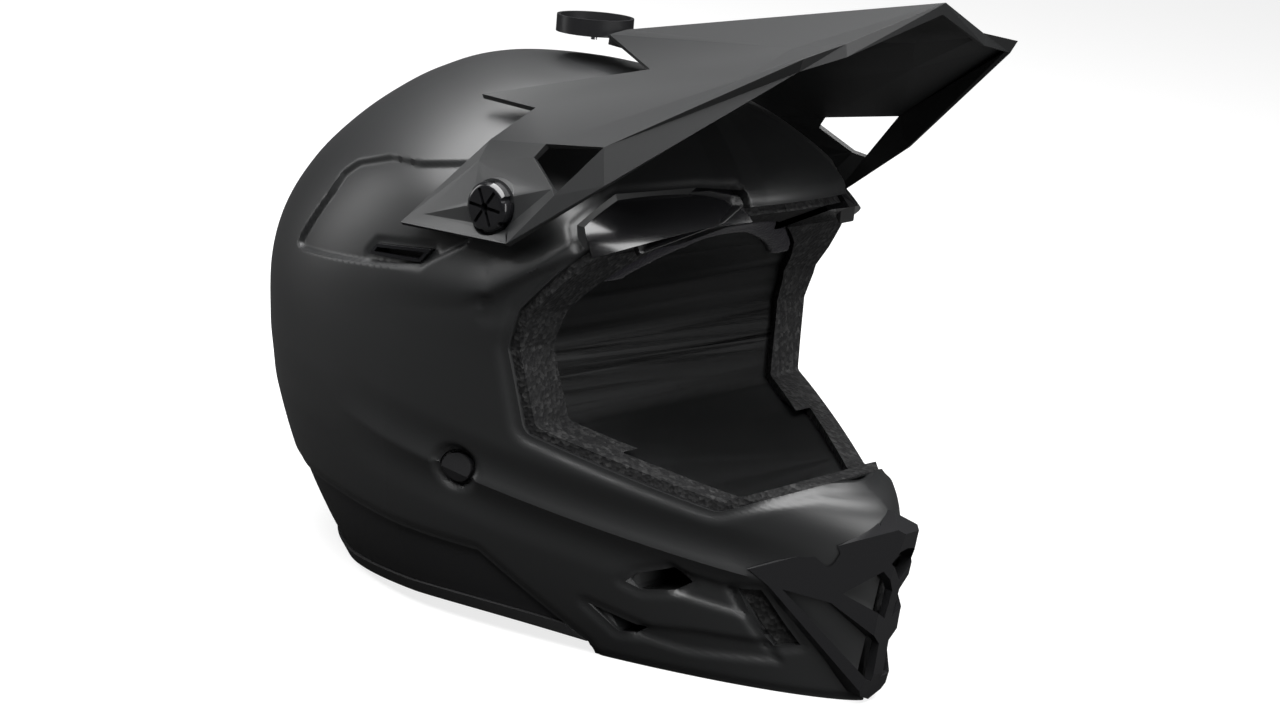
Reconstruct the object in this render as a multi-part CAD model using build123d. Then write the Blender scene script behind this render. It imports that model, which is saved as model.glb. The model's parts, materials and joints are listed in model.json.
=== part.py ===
"""Full-face helmet for downhill riding: shell, liners, pads, chin vents and a tilting visor.

Front is -Y, up is +Z and the wearer's right is -X. Sizes are in millimetres.
The helmet stands on its chin and its rear rim, and the origin is the bottom centre of its box.
"""
import os
from math import copysign, cos, pi, radians, sin

from build123d import *

# Overall size of the shell
SHELL_HEIGHT = 254.0
SHELL_HALF_WIDTH = 126.0
CHIN_REACH = 182.0
BACK_REACH = 177.0

# Horizontal sections of the shell, as shares of the four sizes above:
# height, half width, front, back, place of the widest point, then the roundness of front and back
SECTION_SHARES = [
    (0.000, 0.762, 0.989, 0.667, 0.068, 1.35, 2.10),
    (0.079, 0.849, 0.989, 0.751, 0.090, 1.35, 2.10),
    (0.177, 0.921, 0.995, 0.853, 0.113, 1.36, 2.10),
    (0.295, 0.968, 0.995, 0.938, 0.136, 1.42, 2.15),
    (0.354, 0.984, 0.967, 0.965, 0.141, 1.48, 2.15),
    (0.413, 0.992, 0.868, 0.983, 0.147, 1.60, 2.18),
    (0.531, 1.000, 0.802, 1.000, 0.153, 1.80, 2.20),
    (0.630, 0.998, 0.758, 0.977, 0.153, 2.10, 2.13),
    (0.728, 0.968, 0.714, 0.904, 0.153, 2.25, 2.04),
    (0.807, 0.902, 0.654, 0.808, 0.147, 2.25, 2.00),
    (0.874, 0.772, 0.577, 0.706, 0.136, 2.10, 2.02),
    (0.929, 0.603, 0.478, 0.599, 0.113, 2.00, 2.05),
    (0.972, 0.413, 0.319, 0.463, 0.085, 2.00, 2.00),
    (1.000, 0.150, 0.050, 0.240, 0.068, 2.00, 2.00),
]
# The sections that the shell is lofted through lean forward below the crown, as the side crease does
LEAN_SHARE = 0.17
LEAN_FULL_SHARE = 0.40
LEAN_NONE_SHARE = 0.74
CREASE_LEVEL_SHARE = 0.315
LEVEL_SHARES = (-0.16, -0.02, 0.08, 0.16, 0.225, 0.275, 0.315, 0.355, 0.40, 0.45, 0.51, 0.57, 0.63,
                0.69, 0.745, 0.795, 0.84, 0.88, 0.915, 0.945, 0.97, 0.987, 0.997)
CREASE_RISE = 1.8
CREASE_DIP = 1.6
CREASE_FRONT_SHARE = 0.88
CREASE_FRONT_FADE_SHARE = 0.16
CREASE_BACK_SHARE = 0.32
CREASE_BACK_FADE_SHARE = 0.45
CROWN_THINNING_SHARE = 0.603
SECTION_POINTS = 24
SOLVE_STEPS = 12
SOLVE_PACE_SHARE = 0.6

# Walls and clearances
SHELL_WALL = 3.6
LINER_INSET = 4.8
LINER_WALL = 24.0
CHIN_LINER_WALL = 13.0
PAD_WALL = 10.0
SOFT_GAP = 0.4
LAYER_GAP = 1.0
FIT_GAP = 0.15
OVERRUN = 20.0

# Eye port, from the side
PORT_CORNERS = {
    "rear_low": (-43.0, 104.0), "rear_mid": (-33.5, 142.0), "wing_root": (-37.0, 161.0), "wing": (-62.0, 198.0),
    "brow": (-92.0, 216.0), "brow_front": (-118.0, 223.0), "chin_front": (-153.0, 101.0), "chin_corner": (-123.0, 84.0),
}
PORT_FRONT = -240.0
PORT_ROUND = 7.0
LINER_LIP = 4.0

# Rim, skirt and the diagonal edge where the chin begins
RIM_ARCH = 8.0
RIM_REAR_FOOT = 72.0
RIM_CHIN_FOOT = -122.0
TRIM_HEIGHT = 6.0
TRIM_DEPTH = 5.5
TRIM_INSET = 0.8
SKIRT_INSET = 3.0
SKIRT_WALL = 2.2
STEP_LINE = [(200.0, 41.0), (60.0, 44.0), (0.0, 41.0), (-24.0, 40.5), (-72.0, 6.0), (-80.0, -20.0), (200.0, -20.0)]

# Vents in the side of the chin, from the side
UPPER_VENT = [(-89.0, 42.0), (-93.0, 47.0), (-107.0, 53.0), (-114.0, 47.0), (-108.0, 42.0), (-96.0, 39.5)]
LOWER_VENT = [(-73.0, 27.0), (-97.0, 20.0), (-93.0, 16.5), (-86.0, 15.5)]
UPPER_GROOVE = [(-106.0, 53.0), (-133.0, 48.0), (-137.0, 36.0), (-108.0, 41.0)]
LOWER_GROOVE = [(-96.0, 21.0), (-118.0, 23.5), (-147.0, 24.0), (-151.0, 15.5), (-116.0, 12.5), (-92.0, 15.5)]
MESH_WINDOW = [(-131.0, 48.0), (-141.0, 49.5), (-157.0, 25.0), (-147.0, 22.5)]
GROOVE_DEPTH = 2.0
MESH_DEPTH = 7.0

# Side exhaust recess behind the visor's arm, from the side
RECESS = [(106.0, 152.0), (97.0, 168.0), (89.0, 182.0), (85.0, 193.0), (77.0, 200.0), (56.0, 208.0), (36.0, 210.0),
          (12.0, 216.0), (-12.0, 206.0), (-6.0, 184.0), (14.0, 169.5), (30.0, 165.0), (47.0, 161.5), (76.0, 156.5)]
RECESS_DEPTH = 1.9
SIDE_SLOT = [(48.0, 165.0), (44.0, 171.0), (11.0, 177.0), (16.0, 169.5)]
SLOT_INSERT_INSET = 0.8
SLOT_INSERT_DEPTH = 9.0
SLOT_FRAME = 1.6

# Rear exhaust, from behind
EXHAUST_HALF_WIDTH = 34.0
EXHAUST_LOW = 118.0
EXHAUST_HIGH = 138.0
EXHAUST_INSET = 1.2
EXHAUST_DEPTH = 10.0
EXHAUST_BARS = 4
EXHAUST_BAR_WIDTH = 3.0
TOP_SLOT_PLACE = (34.0, 206.0)
TOP_SLOT_SIZE = (26.0, 5.0)

# Round port in the side crease and its plug
PORT_HOLE_PLACE = (-13.0, 79.0)
PORT_HOLE_RADIUS = 8.6
PLUG_RADIUS = 6.8
PLUG_INSET = 2.4
PLUG_END_X = 104.0

# Brow vent under the forehead edge, from the side
BROW_NOTCH = [(-57.0, 217.0), (-80.0, 223.5), (-103.0, 225.0), (-108.0, 214.0), (-92.0, 208.0), (-62.0, 190.0), (-52.0, 203.0)]
BROW_CENTRE_HALF = 38.0
BROW_INSET = 1.6
BROW_DEPTH = 11.0
BROW_FLOOR = 3.0
BROW_SLOT_SHARES = (0.32, 0.50, 0.68)
BROW_SLOT_SIZE = (8.0, 4.0)

# Mouthpiece, from the front: half of its outline and of its openings
MOUTH_OUTLINE = [(0.0, 92.0), (7.0, 88.0), (50.0, 60.0), (43.0, 53.0), (8.5, 5.0), (0.0, 1.5)]
MOUTH_V = [(39.0, 52.5), (24.0, 49.0), (4.0, 31.0), (4.0, 12.0), (9.0, 14.0)]
MOUTH_SIDE = [(21.0, 54.0), (10.0, 67.0), (3.0, 57.0), (3.0, 43.0)]
MOUTH_TOP = [(0.0, 78.0), (6.0, 77.0), (8.0, 71.0), (0.0, 62.0)]
MOUTH_PROFILE = [(-176.0, 93.0), (-189.0, 86.0), (-187.0, 67.0), (-184.5, 45.0), (-184.5, 15.0), (-181.5, 1.0)]
MOUTH_PLAN = [(5.0, -189.5), (52.0, -135.5)]
MOUTH_FRAME = 4.0
MOUTH_FOAM = (21.0, 38.0, 80.0)
FOAM_DEPTH = 8.0

# Visor: outer corners of one half, as x, y and z
VISOR_WALL = 2.6
VISOR_CORNERS = {
    "apex": (0.0, -157.5, 322.5), "apex_low": (0.0, -157.0, 317.0), "kink": (55.0, -146.0, 304.0),
    "kink_low": (55.0, -147.5, 298.5), "tip": (86.0, -146.5, 299.0), "tip_low": (84.5, -144.5, 293.0),
    "tail_mid": (0.0, 14.0, 272.0), "tail": (14.0, 13.0, 270.5), "facet_low": (45.0, -37.0, 267.0),
    "facet_front": (48.0, -115.0, 295.0), "finger": (81.0, 29.0, 242.0), "slot": (82.0, -4.0, 243.5),
    "flank": (68.0, -103.0, 279.0), "arm_top": (101.0, 4.0, 228.0), "arm_mid": (108.0, -34.0, 236.0),
    "arm_front": (116.0, -72.0, 244.5), "arm_half": (121.5, -53.0, 218.5), "arm_low": (126.0, -34.0, 192.0),
    "arm_rear": (128.0, 27.0, 186.0), "band": (119.5, -78.0, 229.0),
    "plate_rear": (124.0, 17.0, 192.0), "plate_low": (121.0, -28.0, 197.0), "plate_front": (117.0, -48.0, 220.0),
    "plate_gap": (110.5, -30.0, 229.0), "plate_top": (108.0, 3.0, 219.0),
}
VISOR_FACETS = [
    ("tail_mid", "tail", "facet_front"), ("tail_mid", "facet_front", "apex"), ("facet_front", "kink", "apex"),
    ("tail", "facet_low", "facet_front"), ("finger", "slot", "facet_low"), ("slot", "flank", "facet_low"),
    ("flank", "facet_front", "facet_low"), ("flank", "kink", "facet_front"), ("slot", "arm_top", "arm_mid"),
    ("slot", "arm_mid", "flank"), ("arm_mid", "arm_front", "flank"), ("arm_front", "tip", "flank"),
    ("flank", "tip", "kink"), ("arm_low", "band", "arm_half"), ("arm_half", "band", "arm_front"),
    ("arm_front", "band", "tip_low"), ("arm_front", "tip_low", "tip"), ("kink", "tip", "tip_low"),
    ("kink", "tip_low", "kink_low"), ("apex", "kink", "kink_low"), ("apex", "kink_low", "apex_low"),
    ("arm_rear", "arm_low", "plate_low"), ("arm_rear", "plate_low", "plate_rear"), ("arm_low", "arm_half", "plate_front"),
    ("arm_low", "plate_front", "plate_low"), ("arm_top", "plate_top", "plate_gap"), ("arm_top", "plate_gap", "arm_mid"),
    ("arm_rear", "plate_rear", "plate_top"), ("arm_rear", "plate_top", "arm_top"),
    ("plate_rear", "plate_low", "plate_front"), ("plate_rear", "plate_front", "plate_top"),
    ("plate_top", "plate_front", "plate_gap"),
]
VISOR_BOSS_RADIUS = 12.5
VISOR_BOSS_BACK = 115.3
VISOR_BOSS_FACE = 118.9

# Visor pivot screws
PIVOT_Y = -18.5
PIVOT_Z = 204.5
SCREW_HEAD_RADIUS = 11.5
SCREW_HEAD_HEIGHT = 6.5
SCREW_SLOTS = 6
SCREW_SLOT_WIDTH = 1.6
SCREW_SLOT_DEPTH = 2.4
SCREW_NOTCH_RADIUS = 1.6
SCREW_SHANK_RADIUS = 3.0
SCREW_SOCKET_RADIUS = 2.1
SCREW_SOCKET_DEPTH = 3.8
SCREW_SLOT_REACH = 9.0
SCREW_DOME = 2.9
SHANK_GAP = 0.08
SCREW_END_X = 98.0
BOSS_RADIUS = 9.0
BOSS_FACE_X = 115.0
INSERT_RADIUS = 7.0
INSERT_LENGTH = 6.0

# Camera cup at the tail of the visor
CUP_CENTRE = (0.0, 33.0, 266.2)
CUP_RADIUS = 18.5
CUP_WALL = 1.6
CUP_HEIGHT = 8.0
CUP_FLOOR = 3.8
CUP_TILT = 5.0
CUP_SCREW_RADIUS = 4.0
CUP_SCREW_HEIGHT = 1.6
CUP_SCREW_SINK = 0.4
CUP_SHANK_RADIUS = 1.5
CUP_SHANK_LENGTH = 5.0
CUP_TONGUE_HALF_WIDTH = 10.0
CUP_TONGUE = [(2.0, 264.8), (16.0, 264.8), (16.0, 268.5), (13.0, 270.4), (2.0, 273.8)]

# Cheek pads and their plates
CHEEK_INNER_X = 61.0
CHEEK_PLATE_WALL = 2.0
CHEEK_PAD_OUTLINE = [(-80.0, 36.0), (-80.0, 64.0), (-56.0, 86.0), (-40.0, 100.0), (-30.0, 128.0), (4.0, 128.0),
                     (34.0, 108.0), (34.0, 22.0), (20.0, 12.0), (-44.0, 12.0)]
CHEEK_ROUND = 10.0
CHEEK_EDGE = 8.0
CHEEK_CHANNELS = (-36.0, 2.0)
CHEEK_CHANNEL_WIDTH = 3.0
CHEEK_CHANNEL_DEPTH = 3.0
SNAP_RADIUS = 3.5
SNAP_PLACES = [(-40.0, 40.0), (20.0, 40.0), (0.0, 108.0)]
SNAP_ROOT = 3.0
SNAP_REACH = 3.0

# Crown, brow, neck and chin pads
CROWN_PAD_LOW = 136.0
CROWN_PAD_FRONT = -50.0
BROW_PAD_LOW = 172.0
BROW_PAD_HIGH = 206.0
NECK_ROLL_LOW = 10.0
NECK_ROLL_HIGH = 46.0
NECK_ROLL_FRONT = 68.0
NECK_ROLL_WALL = 15.0
PAD_CHANNELS = (-40.0, 0.0, 40.0)
PAD_CHANNEL_WIDTH = 3.0
PAD_CHANNEL_DEPTH = 4.0
CHIN_PAD_WALL = 8.0
CHIN_PAD_LOW = 52.0
CHIN_PAD_HIGH = 80.0
CHIN_PAD_BACK = -84.0
CHIN_SPLIT_Y = -46.0
CHIN_SPLIT_Z = 100.0
LINER_LOW = 14.0
CHIN_LINER_LOW = 5.0

# Chin strap, hanging open
STRAP_WIDTH = 22.0
STRAP_THICKNESS = 1.8
STRAP_Y = 51.0
STRAP_ROUTE = [(86.0, 85.0), (86.0, 72.0), (63.0, 56.0), (60.0, 50.0)]
STRAP_RIVET_Z = 79.0
STRAP_SHORT_END = 34.0
STRAP_LONG_END = 14.0
STRAP_TURN = 3.0
STRAP_TAIL_TOP = 50.0
STRAP_SNAP_Z = 44.0
STRAP_SNAP_RADIUS = 6.0
RIVET_RADIUS = 5.0
RIVET_SHANK_RADIUS = 2.2
RIVET_HEAD = 1.8
RIVET_DEPTH = 10.0
RING_WIRE = 1.6
RING_HALF_WIDTH = 13.5
RING_DROP = 16.0
RING_SPREAD = 2.2
LOOP_WALL = 1.4


def mix(a, b, share):
    return a + (b - a) * share


def row_at(height_share):
    """Shares of one horizontal section, read between the table's rows with smooth slopes."""
    rows = SECTION_SHARES
    last = len(rows) - 2
    index = 0
    while index < last and height_share > rows[index + 1][0]:
        index += 1
    low, high = rows[index], rows[index + 1]
    before = rows[max(index - 1, 0)]
    after = rows[min(index + 2, len(rows) - 1)]
    span = high[0] - low[0]
    t = min((height_share - low[0]) / span, 1.0)
    if t < 0:
        return [a + (b - a) * t for a, b in zip(low, high)]
    result = []
    for a0, a1, a2, a3 in zip(before, low, high, after):
        slope1 = (a2 - a0) / (high[0] - before[0]) * span if before is not low else a2 - a1
        slope2 = (a3 - a1) / (after[0] - low[0]) * span if after is not high else a2 - a1
        square, cube = t * t, t * t * t
        result.append((2 * cube - 3 * square + 1) * a1 + (cube - 2 * square + t) * slope1
                      + (3 * square - 2 * cube) * a2 + (cube - square) * slope2)
    return result


def flat_point(angle, height, inset):
    """Point of the shell's outer form, drawn in by an inset, at one height and angle from the back."""
    _, wide, front, back, place, round_front, round_back = row_at(height / (SHELL_HEIGHT - inset))
    inset = inset * min(1, wide / CROWN_THINNING_SHARE)
    half = wide * SHELL_HALF_WIDTH - inset
    y_front = -front * CHIN_REACH + inset
    y_back = back * BACK_REACH - inset
    y_wide = place * BACK_REACH
    c, s = cos(angle), sin(angle)
    power = 2 / (round_back if c > 0 else round_front)
    reach = (y_back if c > 0 else y_front) - y_wide
    return half * copysign(abs(s) ** power, s), y_wide + reach * abs(c) ** power


def lean(level_share):
    t = (LEAN_NONE_SHARE - level_share) / (LEAN_NONE_SHARE - LEAN_FULL_SHARE)
    t = min(max(t, 0.0), 1.0)
    return LEAN_SHARE * t * t * (3 - 2 * t)


def crease_lift(y, rise):
    """Outward lift of a section at the flank of the chin, fading to the nose and to the ear."""
    front = min(max((y + CREASE_FRONT_SHARE * CHIN_REACH) / (CREASE_FRONT_FADE_SHARE * CHIN_REACH), 0.0), 1.0)
    back = min(max((CREASE_BACK_SHARE * BACK_REACH - y) / (CREASE_BACK_FADE_SHARE * BACK_REACH), 0.0), 1.0)
    return rise * front * back


def section_wire(level_share, inset):
    """Left half of a leaning section of the shell's form, drawn in by an inset, closed on the middle plane."""
    level = level_share * (SHELL_HEIGHT - inset)
    slope = lean(level_share)
    place = LEVEL_SHARES.index(level_share) - LEVEL_SHARES.index(CREASE_LEVEL_SHARE)
    rise = {0: CREASE_RISE, -1: -CREASE_DIP, 1: -CREASE_DIP}.get(place, 0.0)
    points = []
    for i in range(SECTION_POINTS + 1):
        angle = pi * i / SECTION_POINTS
        height = level
        for _ in range(SOLVE_STEPS):
            x, y = flat_point(angle, height, inset)
            height = mix(height, level + slope * y, SOLVE_PACE_SHARE)
        lift = 1 + crease_lift(y, rise) / SHELL_HALF_WIDTH
        x = 0 if i in (0, SECTION_POINTS) else x * lift
        points.append((x, y * lift, level + slope * y * lift))
    return Wire([Spline(*points, tangents=[(1, 0, 0), (-1, 0, 0)]), Line(points[-1], points[0])])


def hull(inset):
    """Left half of the helmet's closed form inside an inset, with the crease along the flank of the chin."""
    return Solid.make_loft([section_wire(share, inset) for share in LEVEL_SHARES], True)


WIDE = SHELL_HALF_WIDTH + OVERRUN
TALL = SHELL_HEIGHT + OVERRUN
DEEP = CHIN_REACH + OVERRUN


def side_prism(outline, rounding=0.0, grow=0.0):
    """Solid whose outline is given from the side as y and z, through the left half along X."""
    face = make_face(Polyline(*outline, close=True))
    if rounding:
        face = fillet(face.vertices(), rounding)
    if grow:
        face = offset(face, grow, kind=Kind.INTERSECTION)
    plane = Plane(origin=(-OVERRUN, 0, 0), x_dir=(0, 1, 0), z_dir=(1, 0, 0))
    return extrude(plane * face, WIDE + OVERRUN)


def front_prism(outline, grow=0.0):
    """Solid whose left half outline is given from the front as x and z, through the chin."""
    points = list(outline)
    if outline[0][0] == 0:
        points += [(-x, z) for x, z in reversed(outline) if x > 0]
    face = make_face(Polyline(*points, close=True))
    if grow:
        face = offset(face, grow, kind=Kind.INTERSECTION)
    plane = Plane(origin=(0, RIM_CHIN_FOOT, 0), x_dir=(1, 0, 0), z_dir=(0, -1, 0))
    return extrude(plane * face, DEEP + RIM_CHIN_FOOT)


def block(x0, x1, y0, y1, z0, z1):
    return Pos((x0 + x1) / 2, (y0 + y1) / 2, (z0 + z1) / 2) * Box(x1 - x0, y1 - y0, z1 - z0)


def side_cylinder(radius, x0, x1, y, z):
    return Pos((x0 + x1) / 2, y, z) * Rot(0, 90, 0) * Cylinder(radius, x1 - x0)


def one(shape):
    """The largest solid of a shape, as one piece without slivers."""
    return max(shape.solids(), key=lambda solid: solid.volume)


def cut(shape, tools):
    for tool in tools:
        shape = shape - tool
    return shape


hulls = {}


def formed(inset):
    key = round(inset, 3)
    if key not in hulls:
        hulls[key] = hull(inset)
    return hulls[key]


def layer(outer, inner, room):
    """Wall between two insets, kept inside a room."""
    return (formed(outer) & room) - formed(inner)


nodes = {}


def add_whole(name, shape):
    """Joins a left half to its mirror image as one node."""
    shape = one(shape)
    nodes[name] = one(shape + mirror(shape, about=Plane.YZ))


def add_pair(name, shape):
    """Keeps a left piece and its mirror image as two nodes."""
    shape = one(shape)
    nodes[name + "_left"] = shape
    nodes[name + "_right"] = mirror(shape, about=Plane.YZ)


def add_group(name, shapes):
    """Keeps small left pieces and their mirror images together as one node."""
    shapes = [one(shape) for shape in shapes]
    nodes[name] = shapes + [mirror(shape, about=Plane.YZ) for shape in shapes]


# Rooms and cutting forms shared by the pieces
side_plane = Plane(origin=(-OVERRUN, 0, 0), x_dir=(0, 1, 0), z_dir=(1, 0, 0))
arch_middle = (RIM_REAR_FOOT + RIM_CHIN_FOOT) / 2
arch_face = make_face([ThreePointArc((RIM_CHIN_FOOT, 0), (arch_middle, RIM_ARCH), (RIM_REAR_FOOT, 0)),
                       Line((RIM_REAR_FOOT, 0), (RIM_CHIN_FOOT, 0))])
arch = extrude(side_plane * arch_face, WIDE + OVERRUN)
all_room = block(0, WIDE, -DEEP, DEEP, 0, TALL)
port_outline = list(PORT_CORNERS.values())
port_outline[6:6] = [(PORT_FRONT, PORT_CORNERS["brow_front"][1] + OVERRUN), (PORT_FRONT, PORT_CORNERS["chin_front"][1])]
port = side_prism(port_outline, PORT_ROUND)
liner_port = side_prism(port_outline, PORT_ROUND, -LINER_LIP)
step = side_prism(STEP_LINE)
brow_room = block(BROW_CENTRE_HALF, WIDE, -DEEP, 0, 0, TALL)
mouth_opening = front_prism(MOUTH_OUTLINE, -MOUTH_FRAME)
exhaust_opening = block(-OVERRUN, EXHAUST_HALF_WIDTH, 0, DEEP, EXHAUST_LOW, EXHAUST_HIGH)
port_y, port_z = PORT_HOLE_PLACE


def make_shell():
    shell = layer(0, SHELL_WALL, all_room)
    place_x, place_z = TOP_SLOT_PLACE
    wide, tall = TOP_SLOT_SIZE
    cutters = [port, step, arch, mouth_opening, side_prism(BROW_NOTCH) & brow_room, exhaust_opening]
    cutters += [side_prism(outline) for outline in (UPPER_VENT, LOWER_VENT, MESH_WINDOW, SIDE_SLOT)]
    cutters += [side_prism(outline) - formed(GROOVE_DEPTH) for outline in (UPPER_GROOVE, LOWER_GROOVE)]
    cutters.append(side_prism(RECESS) - formed(RECESS_DEPTH))
    cutters.append(side_cylinder(PORT_HOLE_RADIUS, 0, WIDE, port_y, port_z))
    cutters.append(block(place_x - wide / 2, place_x + wide / 2, 0, DEEP, place_z, place_z + tall))
    shell = cut(shell, cutters)
    shell = shell + (side_cylinder(BOSS_RADIUS, 0, BOSS_FACE_X, PIVOT_Y, PIVOT_Z) - formed(SHELL_WALL / 2))
    shell = shell - side_cylinder(SCREW_SHANK_RADIUS + SHANK_GAP, 0, WIDE, PIVOT_Y, PIVOT_Z)
    add_whole("outer_shell", shell)


def make_rim():
    """Skirt set back under the shell's step, and the trim strip that it stands on."""
    room = side_prism(STEP_LINE, grow=-FIT_GAP) & all_room
    lifted = (Pos(0, 0, TRIM_HEIGHT) * arch) + block(-OVERRUN, WIDE, -DEEP, DEEP, -OVERRUN, TRIM_HEIGHT)
    add_whole("base_skirt", cut(layer(SKIRT_INSET, SKIRT_INSET + SKIRT_WALL, room - lifted), [port]))
    add_whole("base_trim", cut(layer(TRIM_INSET, TRIM_INSET + TRIM_DEPTH, (room & lifted) - arch), []))


def make_liners():
    beside_skirt = step - formed(max(SKIRT_INSET + SKIRT_WALL, TRIM_INSET + TRIM_DEPTH) + SOFT_GAP)
    chin_room = block(-OVERRUN, WIDE, -DEEP, CHIN_SPLIT_Y, -OVERRUN, CHIN_SPLIT_Z)
    crown_room = block(0, WIDE, -DEEP, DEEP, LINER_LOW, TALL) - chin_room
    pockets = [side_prism(SIDE_SLOT, grow=SOFT_GAP) - formed(SLOT_INSERT_DEPTH + SOFT_GAP),
               (side_prism(BROW_NOTCH, grow=SOFT_GAP) & brow_room) - formed(BROW_DEPTH + SOFT_GAP),
               side_cylinder(PLUG_RADIUS + SOFT_GAP, PLUG_END_X - SOFT_GAP, WIDE, port_y, port_z),
               side_cylinder(INSERT_RADIUS, SCREW_END_X, WIDE, PIVOT_Y, PIVOT_Z), exhaust_opening,
               side_cylinder(RIVET_SHANK_RADIUS, 0, STRAP_ROUTE[0][0] + RIVET_DEPTH, STRAP_Y, STRAP_RIVET_Z)]
    pockets += [side_cylinder(SNAP_RADIUS, 0, WIDE, y, z) & formed(LINER_INSET + LINER_WALL - SNAP_ROOT)
                for y, z in SNAP_PLACES]
    liner = layer(LINER_INSET, LINER_INSET + LINER_WALL, crown_room)
    add_whole("crown_liner", cut(liner, [liner_port, beside_skirt] + pockets))
    room = block(0, WIDE, -DEEP, CHIN_SPLIT_Y - SOFT_GAP, CHIN_LINER_LOW, CHIN_SPLIT_Z)
    chin = layer(LINER_INSET, LINER_INSET + CHIN_LINER_WALL, room)
    vents = [side_prism(outline, grow=SOFT_GAP) for outline in (UPPER_VENT, LOWER_VENT, MESH_WINDOW)]
    add_whole("chin_liner", cut(chin, [liner_port, beside_skirt, mouth_opening] + vents))


def make_vents():
    low_y, low_z = BROW_NOTCH[5]
    far_y, far_z = BROW_NOTCH[3]
    wide, tall = BROW_SLOT_SIZE
    slots = []
    for share in BROW_SLOT_SHARES:
        y, z = mix(low_y, far_y, share), mix(low_z, far_z, share) + 2 * tall
        slots.append(block(0, WIDE, y - wide / 2, y + wide / 2, z - tall / 2, z + tall / 2) - formed(BROW_DEPTH - BROW_FLOOR))
    brow_inside = side_prism(BROW_NOTCH, grow=-FIT_GAP) & (Pos(FIT_GAP, 0, 0) * brow_room)
    add_pair("brow_vent", cut(layer(BROW_INSET, BROW_DEPTH, brow_inside), slots))
    insert = layer(SLOT_INSERT_INSET, SLOT_INSERT_DEPTH, side_prism(SIDE_SLOT, grow=-FIT_GAP))
    slot = side_prism(SIDE_SLOT, grow=-SLOT_FRAME) - formed(SLOT_INSERT_DEPTH - BROW_FLOOR)
    add_pair("side_insert", insert - slot)
    add_pair("side_mesh", layer(LINER_INSET, LINER_INSET + MESH_DEPTH, side_prism(MESH_WINDOW, grow=-FIT_GAP)))
    room = block(0, EXHAUST_HALF_WIDTH - FIT_GAP, 0, DEEP, EXHAUST_LOW + FIT_GAP, EXHAUST_HIGH - FIT_GAP)
    grille = layer(EXHAUST_INSET, EXHAUST_DEPTH, room)
    pitch = 2 * (EXHAUST_HALF_WIDTH - EXHAUST_BAR_WIDTH) / (EXHAUST_BARS + 1)
    gaps = []
    for i in range(EXHAUST_BARS + 1):
        x = -EXHAUST_HALF_WIDTH + EXHAUST_BAR_WIDTH + i * pitch
        gaps.append(block(x + EXHAUST_BAR_WIDTH / 2, x + pitch - EXHAUST_BAR_WIDTH / 2, 0, DEEP,
                          EXHAUST_LOW + EXHAUST_BAR_WIDTH, EXHAUST_HIGH - EXHAUST_BAR_WIDTH))
    add_whole("rear_exhaust", cut(grille, gaps))
    add_pair("port_plug", side_cylinder(PLUG_RADIUS, PLUG_END_X, WIDE, port_y, port_z) & formed(PLUG_INSET))


def make_mouthpiece():
    plan = [(-OVERRUN, MOUTH_PLAN[0][1])] + MOUTH_PLAN + [(MOUTH_PLAN[1][0], RIM_CHIN_FOOT), (-OVERRUN, RIM_CHIN_FOOT)]
    wedge = extrude(make_face(Polyline(*plan, close=True)), TALL)
    profile = MOUTH_PROFILE + [(RIM_CHIN_FOOT, MOUTH_PROFILE[-1][1]), (RIM_CHIN_FOOT, MOUTH_PROFILE[0][1])]
    body = (front_prism(MOUTH_OUTLINE) & wedge & side_prism(profile)) & all_room
    openings = [front_prism(outline) for outline in (MOUTH_V, MOUTH_SIDE, MOUTH_TOP)]
    add_whole("mouthpiece", cut(body, [formed(-FIT_GAP)] + openings))
    half_width, low, high = MOUTH_FOAM
    room = block(0, half_width, -DEEP, RIM_CHIN_FOOT, low, high) & front_prism(MOUTH_OUTLINE, -MOUTH_FRAME - SOFT_GAP)
    add_whole("mouth_foam", layer(LINER_INSET, LINER_INSET + FOAM_DEPTH, room))


def channels(depth_inset, places):
    return [block(x - PAD_CHANNEL_WIDTH / 2, x + PAD_CHANNEL_WIDTH / 2, -DEEP, DEEP, 0, TALL) & formed(depth_inset)
            for x in places]


def make_pads():
    outer = LINER_INSET + LINER_WALL + SOFT_GAP
    inner = outer + PAD_WALL
    brow_back = CROWN_PAD_FRONT + 2 * PAD_WALL
    brow_gap = block(-OVERRUN, WIDE, -DEEP, brow_back, 0, BROW_PAD_HIGH + SOFT_GAP)
    room = block(0, WIDE, CROWN_PAD_FRONT, DEEP, CROWN_PAD_LOW, TALL) - brow_gap
    crown = layer(outer, inner, room)
    add_whole("crown_pad", cut(crown, channels(inner - PAD_CHANNEL_DEPTH, PAD_CHANNELS)))
    room = block(0, WIDE, -DEEP, brow_back - SOFT_GAP, BROW_PAD_LOW, BROW_PAD_HIGH)
    add_whole("brow_pad", cut(layer(outer, inner, room), [liner_port]))
    room = block(0, WIDE, NECK_ROLL_FRONT, DEEP, NECK_ROLL_LOW, NECK_ROLL_HIGH)
    neck = layer(outer, outer + NECK_ROLL_WALL, room)
    add_whole("neck_roll", cut(neck, channels(outer + NECK_ROLL_WALL - PAD_CHANNEL_DEPTH, (0, ))))
    outer = LINER_INSET + CHIN_LINER_WALL + LAYER_GAP
    room = block(0, WIDE, -DEEP, CHIN_PAD_BACK, CHIN_PAD_LOW, CHIN_PAD_HIGH)
    add_whole("chin_pad", cut(layer(outer, outer + CHIN_PAD_WALL, room), [liner_port]))


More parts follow.
